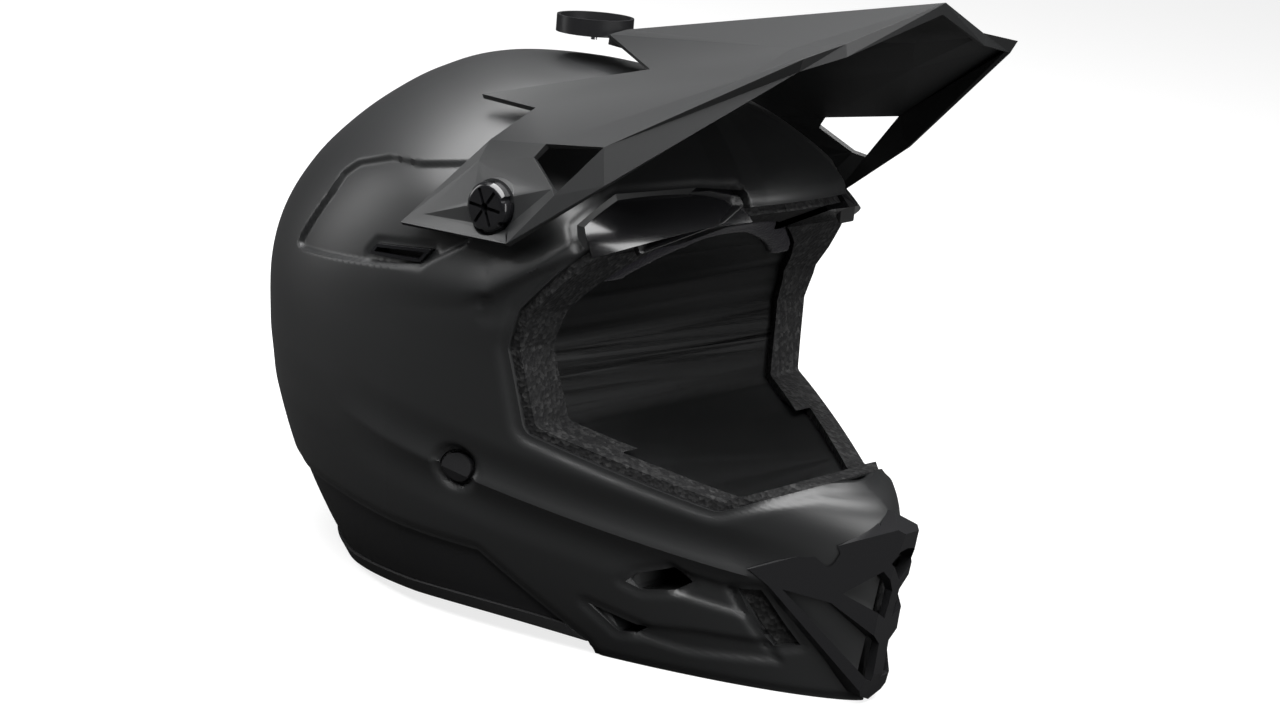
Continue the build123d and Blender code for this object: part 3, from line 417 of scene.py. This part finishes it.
def arch_outline(lift):
    """Everything under the rim's arch, lifted by a height, from the side."""
    middle = (RIM_REAR_FOOT + RIM_CHIN_FOOT) / 2
    half = (RIM_REAR_FOOT - RIM_CHIN_FOOT) / 2
    radius = (half * half + RIM_ARCH * RIM_ARCH) / (2 * RIM_ARCH)
    outline = [(DEEP, lift), (DEEP, ARCH_FOOT), (-DEEP, ARCH_FOOT), (-DEEP, lift)]
    for i in range(ARCH_STEPS + 1):
        y = RIM_CHIN_FOOT + 2 * half * i / ARCH_STEPS
        outline.append((y, lift + np.sqrt(radius * radius - (y - middle) ** 2) - radius + RIM_ARCH))
    return outline


# Objects and the tools that cut them
def linked(name, data):
    obj = bpy.data.objects.new(name, data)
    bpy.context.scene.collection.objects.link(obj)
    return obj


def smooth(obj, sharp=SHARP):
    obj.data.shade_smooth()
    obj.data.set_sharp_from_angle(angle=radians(sharp))


def mesh_object(name, points, faces, sharp=SHARP):
    """New object from points in the part's millimetres, shaded smooth with sharp edges over an angle."""
    mesh = bpy.data.meshes.new(name)
    moved = (np.asarray(points, dtype=float) + (0.0, shift_y, 0.0)) * MM
    mesh.from_pydata(moved.tolist(), [], [tuple(int(i) for i in face) for face in faces])
    mesh.update()
    obj = linked(name, mesh)
    smooth(obj, sharp)
    return obj


@contextmanager
def edited(obj):
    """Opens an object's mesh for an edit and writes it back after it."""
    bm = bmesh.new()
    bm.from_mesh(obj.data)
    yield bm
    bm.to_mesh(obj.data)
    bm.free()


def split_large_faces(bm):
    bmesh.ops.triangulate(bm, faces=[f for f in bm.faces if len(f.verts) > 4])


def apply_modifiers(obj):
    graph = bpy.context.evaluated_depsgraph_get()
    mesh = bpy.data.meshes.new_from_object(obj.evaluated_get(graph))
    obj.modifiers.clear()
    obj.data = mesh


def bevel(obj, width, segments=3, angle=SHARP):
    modifier = obj.modifiers.new("edges", "BEVEL")
    modifier.width = width * MM
    modifier.segments = segments
    modifier.limit_method = "ANGLE"
    modifier.angle_limit = radians(angle)
    modifier.harden_normals = False


def grid_faces(rows, columns):
    """Faces of a closed grid of rings, with its first and last ring filled."""
    faces = []
    for i in range(rows - 1):
        for j in range(columns):
            k = (j + 1) % columns
            faces.append((i * columns + j, i * columns + k, (i + 1) * columns + k, (i + 1) * columns + j))
    faces.append(tuple(range((rows - 1) * columns, rows * columns)))
    faces.append(tuple(range(columns - 1, -1, -1)))
    return faces


def form_object(name, inset, grid=INNER_GRID):
    return mesh_object(name, form_points(inset, *grid), grid_faces(*grid))


def prism(name, outline, low, high, place):
    """Closed prism over an outline; place turns (u, v, distance) into x, y and z."""
    count = len(outline)
    points = [place(u, v, w) for w in (low, high) for u, v in outline]
    faces = [(i, (i + 1) % count, count + (i + 1) % count, count + i) for i in range(count)]
    faces += [tuple(range(count - 1, -1, -1)), tuple(range(count, 2 * count))]
    obj = mesh_object(name, points, faces)
    with edited(obj) as bm:
        split_large_faces(bm)
        bmesh.ops.recalc_face_normals(bm, faces=bm.faces)
    return obj


def side_prism(name, outline, low=-WIDE, high=WIDE):
    return prism(name, outline, low, high, lambda y, z, x: (x, y, z))


def front_prism(name, outline, low=-DEEP, high=RIM_CHIN_FOOT):
    return prism(name, outline, low, high, lambda x, z, y: (x, y, z))


def block(name, x0, x1, y0, y1, z0, z1):
    return side_prism(name, [(y0, z0), (y1, z0), (y1, z1), (y0, z1)], x0, x1)


def disc(name, radius, x0, x1, y, z):
    angles = [2 * pi * i / DISC_SIDES for i in range(DISC_SIDES)]
    return side_prism(name, [(y + radius * cos(a), z + radius * sin(a)) for a in angles], x0, x1)


def carve(obj, steps, sharp=SHARP):
    """Applies boolean steps ('DIFFERENCE' or 'INTERSECT', tool) to obj and removes the tools."""
    for operation, tool in steps:
        modifier = obj.modifiers.new(tool.name, "BOOLEAN")
        modifier.operation = operation
        modifier.solver = "MANIFOLD"
        modifier.object = tool
    apply_modifiers(obj)
    for _, tool in steps:
        bpy.data.objects.remove(tool)
    smooth(obj, sharp)


# The shell
def roll(distance, radius):
    """Depth of a rounded edge at a distance outside its outline, which first stays flat for a little."""
    t = np.clip(1 - np.maximum(distance - EDGE_FLAT, 0) / radius, 0, 1)
    return ROLL_SHARE * radius * t * t


def wing_lift(y, z):
    """Outward lift of the sharp wing over the port's rear corner and of the soft ridge behind it."""
    least = np.full(y.shape, FAR)
    above = np.zeros(y.shape)
    for start, end in zip(WING_LINE[:-1], WING_LINE[1:]):
        (ay, az), (by, bz) = start, end
        gap = line_gap(y, z, start, end)
        side = np.sign((y - ay) * (bz - az) - (z - az) * (by - ay))
        nearer = gap < least
        least = np.where(nearer, gap, least)
        above = np.where(nearer, side, above)
    fall = np.where(above > 0, WING_REACH, np.interp(y, *zip(*WING_DROP)))
    slope = smoothstep(least / fall)
    fade = (1 - smoothstep((least - WING_SINK_FLAT) / WING_SINK_FADE)) * (y < WING_SINK_REAR)
    lift = np.interp(y, *zip(*WING_LIFT)) * (1 - slope) * (y < WING_REAR) * (y > WING_FRONT)
    return lift - WING_SINK * slope * (above < 0) * fade


def forehead_lift(x, y, z):
    """Two soft creases that run forward over the forehead."""
    (y0, x0), (y1, x1) = FOREHEAD_CREASE
    middle = x0 + (y - y0) / (y1 - y0) * (x1 - x0)
    tent = np.clip(1 - np.abs(x - middle) / CREASE_REACH, 0, 1)
    along = smoothstep((-y - FOREHEAD_START) / FOREHEAD_FADE)
    return CREASE_LIFT * tent * along * smoothstep((z - FOREHEAD_LEVEL) / FOREHEAD_LEVEL_FADE)


def shell_depth(points):
    """How far each point of the shell's outside is drawn in: recesses, grooves and rolled edges."""
    x, y, z = np.abs(points[:, 0]), points[:, 1], points[:, 2]
    recess = outline_distance(y, z, rounded(RECESS, RECESS_ROUND))
    depth = RECESS_DEPTH * smoothstep(-recess / RECESS_WALL + 0.5) * (x > RECESS_INNER_X)
    for outline in (UPPER_GROOVE, LOWER_GROOVE):
        depth += GROOVE_DEPTH * smoothstep(-outline_distance(y, z, outline) / GROOVE_WALL + 0.5)
    depth += roll(outline_distance(y, z, rounded(PORT_CORNERS, PORT_ROUND)), PORT_ROLL)
    for outline in (UPPER_VENT, LOWER_VENT, MESH_WINDOW, SIDE_SLOT):
        depth += roll(outline_distance(y, z, outline), VENT_ROLL)
    depth += roll(outline_distance(y, z, BROW_NOTCH), VENT_ROLL) * (x > BROW_CENTRE_HALF)
    depth += roll(outline_distance(y, z, STEP_LINE), RIM_ROLL)
    depth += roll(z, RIM_ROLL) * (y < RIM_CHIN_FOOT + CHIN_RIM_REACH)
    hole = np.hypot(y - PORT_HOLE_PLACE[0], z - PORT_HOLE_PLACE[1]) - PORT_HOLE_RADIUS
    depth += HOLE_DISH * smoothstep(1 - hole / HOLE_DISH_REACH) * (x > FLANK_X)
    depth -= wing_lift(y, z) * (x > FLANK_X)
    return depth - forehead_lift(x, y, z)


def outward_normals(grid):
    along = np.roll(grid, -1, axis=1) - np.roll(grid, 1, axis=1)
    normal = np.cross(along, np.gradient(grid, axis=0))
    normal /= np.maximum(np.linalg.norm(normal, axis=2, keepdims=True), TINY)
    return normal * np.sign((normal * (grid - HEAD_CENTRE)).sum(axis=2, keepdims=True))


def mirrored(outline):
    """The outline's half at positive x, turned over to negative x."""
    return [(-x, z) for x, z in reversed(outline) if x > 0]


def mouth_opening():
    """The mouth's outline on both sides of the middle, drawn in by the mouthpiece's frame.

    Its half at negative x is traced a second time, and the cut leaves the shell closed on that side.
    """
    full = grown(MOUTH_OUTLINE + mirrored(MOUTH_OUTLINE), -MOUTH_FRAME)
    return full + mirrored(full)


def shell_tools():
    """Everything that is cut out of the shell, with its inside first."""
    tools = [
        form_object("inside", SHELL_WALL),
        side_prism("port", rounded(PORT_CORNERS, PORT_ROUND)),
        side_prism("step", STEP_LINE),
        block("below", -WIDE, WIDE, -DEEP, DEEP, UNDER, 0),
        front_prism("mouth", mouth_opening()),
    ]
    tools += [side_prism("brow", BROW_NOTCH, s * BROW_CENTRE_HALF, s * WIDE) for s in (-1, 1)]
    outlines = (("upper", UPPER_VENT), ("lower", LOWER_VENT), ("window", MESH_WINDOW), ("slot", SIDE_SLOT))
    for name, outline in outlines:
        tools += [side_prism(name, outline, s * VENT_START, s * WIDE) for s in (-1, 1)]
    tools.append(disc("hole", PORT_HOLE_RADIUS, -WIDE, WIDE, *PORT_HOLE_PLACE))
    half = EXHAUST_HALF_WIDTH
    tools.append(block("exhaust", -half, half, 0, DEEP, EXHAUST_LOW, EXHAUST_HIGH))
    x, z = TOP_SLOT_PLACE
    wide, tall = TOP_SLOT_SIZE
    tools += [block("top_slot", s * x - wide / 2, s * x + wide / 2, 0, DEEP, z, z + tall) for s in (-1, 1)]
    return tools


def make_shell():
    points = form_points(0.0, *SHELL_GRID)
    normal = outward_normals(points.reshape(*SHELL_GRID, 3)).reshape(-1, 3)
    points = points - normal * shell_depth(points)[:, None]
    shell = mesh_object("shell_outside", points, grid_faces(*SHELL_GRID), SHELL_SHARP)
    carve(shell, [("DIFFERENCE", tool) for tool in shell_tools()], SHELL_SHARP)
    stand_for(shell, "outer_shell", "shell_black")


# Finishes
def tint(nodes, links, factor, dark, light, shader):
    """Gives the shader a colour between two, by a factor."""
    mix = nodes.new("ShaderNodeMix")
    mix.data_type = "RGBA"
    mix.inputs["A"].default_value = (*dark, 1)
    mix.inputs["B"].default_value = (*light, 1)
    links.new(factor, mix.inputs["Factor"])
    links.new(mix.outputs["Result"], shader.inputs["Base Color"])


def raise_by(nodes, links, height, strength, distance, shader):
    """Gives the shader a fine relief."""
    lift = nodes.new("ShaderNodeBump")
    lift.inputs["Strength"].default_value = strength
    lift.inputs["Distance"].default_value = distance
    links.new(height, lift.inputs["Height"])
    links.new(lift.outputs["Normal"], shader.inputs["Normal"])


def start_material(name):
    """New material with its node tree, its shader and the object's own coordinates."""
    material = bpy.data.materials.new(name)
    material.use_nodes = True
    nodes, links = material.node_tree.nodes, material.node_tree.links
    place = nodes.new("ShaderNodeTexCoord").outputs["Object"]
    return material, nodes, links, nodes["Principled BSDF"], place


def noise_node(nodes, links, place, scale, detail):
    noise = nodes.new("ShaderNodeTexNoise")
    noise.inputs["Scale"].default_value = scale
    noise.inputs["Detail"].default_value = detail
    links.new(place, noise.inputs["Vector"])
    return noise


def cell_node(nodes, links, place, scale):
    cells = nodes.new("ShaderNodeTexVoronoi")
    cells.inputs["Scale"].default_value = scale
    links.new(place, cells.inputs["Vector"])
    return cells


def grain_material(name, color, roughness, coat=0.0, bump=0.0, scale=900.0, metallic=0.0, specular=0.5,
                   mottle=0.0):
    """Hard finish: a base colour with a light mottle, and a fine relief of the same grain."""
    material, nodes, links, shader, place = start_material(name)
    shader.inputs["Roughness"].default_value = roughness
    shader.inputs["Metallic"].default_value = metallic
    shader.inputs["Specular IOR Level"].default_value = specular
    shader.inputs["Coat Weight"].default_value = coat
    shader.inputs["Coat Roughness"].default_value = COAT_ROUGHNESS
    grain = noise_node(nodes, links, place, scale, GRAIN_DETAIL).outputs["Fac"]
    dark = [c * (1 - mottle) for c in color]
    light = [min(c * (1 + mottle), 1) for c in color]
    tint(nodes, links, grain, dark, light, shader)
    if bump:
        raise_by(nodes, links, grain, bump, GRAIN_DISTANCE, shader)
    return material


def bead_material(name, dark, light, scale, strength):
    """Bead foam: rounded cells, each with its own shade."""
    material, nodes, links, shader, place = start_material(name)
    shader.inputs["Roughness"].default_value = BEAD_ROUGHNESS
    shader.inputs["Specular IOR Level"].default_value = BEAD_SPECULAR
    cells = cell_node(nodes, links, place, scale)
    shade = nodes.new("ShaderNodeRGBToBW")
    links.new(cells.outputs["Color"], shade.inputs["Color"])
    power = nodes.new("ShaderNodeMath")
    power.operation = "POWER"
    power.inputs[1].default_value = BEAD_CONTRAST
    links.new(shade.outputs["Val"], power.inputs[0])
    tint(nodes, links, power.outputs["Value"], dark, light, shader)
    raise_by(nodes, links, cells.outputs["Distance"], strength, CELL_DISTANCE, shader)
    return material


def knit_material(name, dark, light, scale):
    """Plush knit: fine cells with a soft mottle, and a light sheen."""
    material, nodes, links, shader, place = start_material(name)
    shader.inputs["Roughness"].default_value = KNIT_ROUGHNESS
    shader.inputs["Specular IOR Level"].default_value = KNIT_SPECULAR
    shader.inputs["Sheen Weight"].default_value = KNIT_SHEEN
    shader.inputs["Sheen Roughness"].default_value = KNIT_SHEEN_ROUGHNESS
    cells = cell_node(nodes, links, place, scale)
    noise = noise_node(nodes, links, place, scale / KNIT_MOTTLE, KNIT_DETAIL)
    tint(nodes, links, noise.outputs["Fac"], dark, light, shader)
    total = nodes.new("ShaderNodeMath")
    total.operation = "ADD"
    links.new(cells.outputs["Distance"], total.inputs[0])
    links.new(noise.outputs["Fac"], total.inputs[1])
    raise_by(nodes, links, total.outputs["Value"], KNIT_RELIEF, CELL_DISTANCE, shader)
    return material


MATTE_BLACK = (0.012, 0.0125, 0.013)
PLASTIC_BLACK = (0.012, 0.012, 0.013)
FINISHES = {
    "shell_black": grain_material(
        "shell_black", MATTE_BLACK, 0.42, bump=0.06, scale=1400, specular=0.8, mottle=0.05),
    "visor_black": grain_material(
        "visor_black", MATTE_BLACK, 0.48, bump=0.08, scale=1500, specular=0.6, mottle=0.05),
    "trim_rubber": grain_material(
        "trim_rubber", (0.03, 0.03, 0.031), 0.55, bump=0.15, scale=700, mottle=0.1),
    "dark_plastic": grain_material("dark_plastic", PLASTIC_BLACK, 0.5, bump=0.15, mottle=0.1),
    "gloss_black": grain_material("gloss_black", (0.008, 0.008, 0.009), 0.2, coat=0.6),
    "satin_black": grain_material("satin_black", PLASTIC_BLACK, 0.3, bump=0.05),
    "foam_black": bead_material("foam_black", (0.006, 0.006, 0.0065), (0.045, 0.045, 0.045), 520, 0.7),
    "mesh_foam": bead_material("mesh_foam", (0.004, 0.004, 0.004), (0.03, 0.03, 0.03), 420, 1.0),
    "pad_fabric": knit_material("pad_fabric", (0.010, 0.0095, 0.012), (0.024, 0.022, 0.028), 760),
    "cheek_fabric": knit_material("cheek_fabric", (0.022, 0.021, 0.026), (0.062, 0.058, 0.070), 620),
    "webbing": grain_material("webbing", (0.012, 0.012, 0.012), 0.8, bump=0.6, scale=1200, mottle=0.3),
    "steel": grain_material("steel", (0.45, 0.45, 0.46), 0.3, metallic=1.0, mottle=0.1),
}


def finish_with(obj, slot_name):
    obj.data.materials.clear()
    obj.data.materials.append(FINISHES[slot_name])


def dress_frame():
    """Gives every shown CAD node the finish of its slot in the record."""
    for row in frame["record"]["subparts"]:
        finish = FINISHES[row["material_slot"]]
        materials = frame["nodes"][row["node"]].data.materials
        if materials:
            materials[0] = finish
        else:
            materials.append(finish)


def stand_for(obj, node, slot_name, body="helmet"):
    finish_with(obj, slot_name)
    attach(obj, body)
    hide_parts(node)


# Brow vents, rim, pads and visor
def brow_face(name, side):
    """Faceted front of a brow vent: a raised frame with a sunk floor, closed behind."""
    outer = np.array(BROW_FACE) * (side, 1, 1)
    middle = outer.mean(axis=0)
    inward = np.array(BROW_FACE_CENTRE) - middle
    inward /= np.linalg.norm(inward)
    back_loop = middle + (outer - middle) * BROW_FACE_BACK_SHARE + inward * BROW_FACE_THICK
    frame_loop = middle + (outer - middle) * BROW_FACE_FRAME_SHARE + inward * BROW_FACE_FRAME_SINK
    floor_loop = middle + (outer - middle) * BROW_FACE_SHARE + inward * BROW_FACE_SINK
    floor_middle = middle + inward * (BROW_FACE_SINK - BROW_FACE_CROWN)
    loops = [back_loop, outer, frame_loop, floor_loop]
    points = np.vstack(loops + [[floor_middle], [middle + inward * BROW_FACE_THICK]])
    count = len(outer)
    top = (len(loops) - 1) * count
    faces = []
    for i in range(count):
        k = (i + 1) % count
        for row in range(0, top, count):
            faces.append((row + i, row + k, row + count + k, row + count + i))
        faces.append((top + i, top + k, top + count))
        faces.append((k, i, top + count + 1))
    obj = mesh_object(name, points, faces, BROW_FACE_SHARP)
    with edited(obj) as bm:
        bmesh.ops.recalc_face_normals(bm, faces=bm.faces)
    return obj


def make_brow_vents():
    notch = rounded(grown(BROW_NOTCH, -FIT_GAP), BROW_ROUND, BROW_ROUND_STEPS)
    for word, side in SIDES:
        vent = form_object("brow_" + word, BROW_INSET, BROW_GRID)
        room = side_prism("room", notch, side * (BROW_CENTRE_HALF + FIT_GAP), side * WIDE)
        carve(vent, [("INTERSECT", room), ("DIFFERENCE", form_object("deep", BROW_DEPTH))])
        stand_for(vent, "brow_vent_" + word, "gloss_black")
        face = brow_face("brow_face_" + word, side)
        bevel(face, BROW_FACE_BEVEL, segments=2, angle=FOLD_SHARP)
        stand_for(face, "brow_vent_" + word, "satin_black")


def make_rim():
    """The skirt under the shell's step, and the strip along its lower edge."""
    step = grown(STEP_LINE, -FIT_GAP)
    skirt = form_object("skirt_form", SKIRT_INSET, RIM_GRID)
    carve(skirt, [
        ("INTERSECT", side_prism("room", step)),
        ("DIFFERENCE", form_object("deep", SKIRT_INSET + SKIRT_WALL)),
        ("DIFFERENCE", side_prism("low", arch_outline(TRIM_HEIGHT))),
    ])
    stand_for(skirt, "base_skirt", "dark_plastic")
    trim = form_object("trim_form", TRIM_INSET, RIM_GRID)
    carve(trim, [
        ("INTERSECT", side_prism("room", step)),
        ("INTERSECT", side_prism("low", arch_outline(TRIM_HEIGHT))),
        ("DIFFERENCE", form_object("deep", TRIM_INSET + TRIM_DEPTH)),
        ("DIFFERENCE", side_prism("table", arch_outline(0.0))),
    ])
    bevel(trim, TRIM_BEVEL)
    stand_for(trim, "base_trim", "trim_rubber")


def make_pads():
    """Every cushion as a rounded fabric body in the room of its solid."""
    for node, body, fill, rounds, finish in PADS:
        pad = linked(node + "_cushion", frame["nodes"][node].data.copy())
        remesh = pad.modifiers.new("even", "REMESH")
        remesh.mode = "VOXEL"
        remesh.voxel_size = PAD_VOXEL * MM
        ease = pad.modifiers.new("ease", "SMOOTH")
        ease.factor = PAD_EASE
        ease.iterations = rounds
        apply_modifiers(pad)
        smooth(pad, SOFT_SHARP)
        finish_with(pad, finish)
        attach(pad, body)
        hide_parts(node)


def make_visor():
    """The visor's own form with its small folds shaded over and its main edges rolled."""
    obj = linked("visor_shell", frame["nodes"]["visor"].data.copy())
    with edited(obj) as bm:
        bmesh.ops.remove_doubles(bm, verts=bm.verts, dist=VISOR_MERGE * MM)
        bmesh.ops.dissolve_limit(bm, angle_limit=radians(VISOR_FLAT), verts=bm.verts, edges=bm.edges)
        split_large_faces(bm)
    smooth(obj, VISOR_SHARP)
    bevel(obj, VISOR_BEVEL, segments=2, angle=VISOR_SHARP)
    stand_for(obj, "visor", "visor_black", "visor")


# Camera, floor, world and lamps
def make_camera():
    camera_data = bpy.data.cameras.new("camera")
    camera_data.lens = CAMERA_LENS
    camera_data.sensor_width = CAMERA_SENSOR
    camera_data.clip_end = CAMERA_END
    camera = linked("camera", camera_data)
    place = (Vector(CAMERA_PLACE) + Vector((0, shift_y, 0))) * MM
    turn = Matrix((CAMERA_RIGHT, CAMERA_UP, -Vector(CAMERA_FORWARD))).transposed().to_4x4()
    camera.matrix_world = Matrix.Translation(place) @ turn
    bpy.context.scene.camera = camera


def seen_mix(nodes, links, seen, unseen, surface):
    """Lets the camera see one closure and every other ray another, for the pale background."""
    path = nodes.new("ShaderNodeLightPath")
    blend = nodes.new("ShaderNodeMixShader")
    links.new(path.outputs["Is Camera Ray"], blend.inputs["Fac"])
    links.new(unseen.outputs[0], blend.inputs[1])
    links.new(seen.outputs[0], blend.inputs[2])
    links.new(blend.outputs[0], surface)


def make_floor():
    half = FLOOR_HALF
    mesh = bpy.data.meshes.new("floor")
    corners = [(-half, -half, 0), (half, -half, 0), (half, half, 0), (-half, half, 0)]
    mesh.from_pydata(corners, [], [(0, 1, 2, 3)])
    floor = linked("floor", mesh)
    pale = bpy.data.materials.new("floor")
    pale.use_nodes = True
    nodes, links = pale.node_tree.nodes, pale.node_tree.links
    shown = nodes["Principled BSDF"]
    shown.inputs["Base Color"].default_value = (FLOOR_SEEN, FLOOR_SEEN, FLOOR_SEEN, 1)
    shown.inputs["Roughness"].default_value = FLOOR_ROUGHNESS
    shown.inputs["Emission Color"].default_value = (1, 1, 1, 1)
    shown.inputs["Emission Strength"].default_value = FLOOR_GLOW
    hidden = nodes.new("ShaderNodeBsdfDiffuse")
    hidden.inputs["Color"].default_value = (FLOOR_UNSEEN, FLOOR_UNSEEN, FLOOR_UNSEEN, 1)
    seen_mix(nodes, links, shown, hidden, nodes["Material Output"].inputs["Surface"])
    mesh.materials.append(pale)


def make_world():
    world = bpy.data.worlds.new("studio")
    world.use_nodes = True
    nodes, links = world.node_tree.nodes, world.node_tree.links
    shown = nodes["Background"]
    shown.inputs["Strength"].default_value = 1.0
    shown.inputs["Color"].default_value = (1, 1, 1, 1)
    hidden = nodes.new("ShaderNodeBackground")
    hidden.inputs["Strength"].default_value = WORLD_STRENGTH
    seen_mix(nodes, links, shown, hidden, nodes["World Output"].inputs["Surface"])
    bpy.context.scene.world = world


def soft_box(name, place, target, wide, tall, power):
    light_data = bpy.data.lights.new(name, "AREA")
    light_data.shape = "RECTANGLE"
    light_data.size = wide
    light_data.size_y = tall
    light_data.energy = power
    light = linked(name, light_data)
    light.location = place
    light.rotation_euler = (Vector(target) - Vector(place)).to_track_quat("-Z", "Y").to_euler()


dress_frame()
make_shell()
make_brow_vents()
make_rim()
make_pads()
make_visor()
for name, width in NODE_BEVELS:
    bevel(frame["nodes"][name], width, angle=FOLD_SHARP)
make_camera()
make_floor()
make_world()
for row in SOFT_BOXES:
    soft_box(*row)
bpy.context.scene.view_settings.view_transform = "Standard"
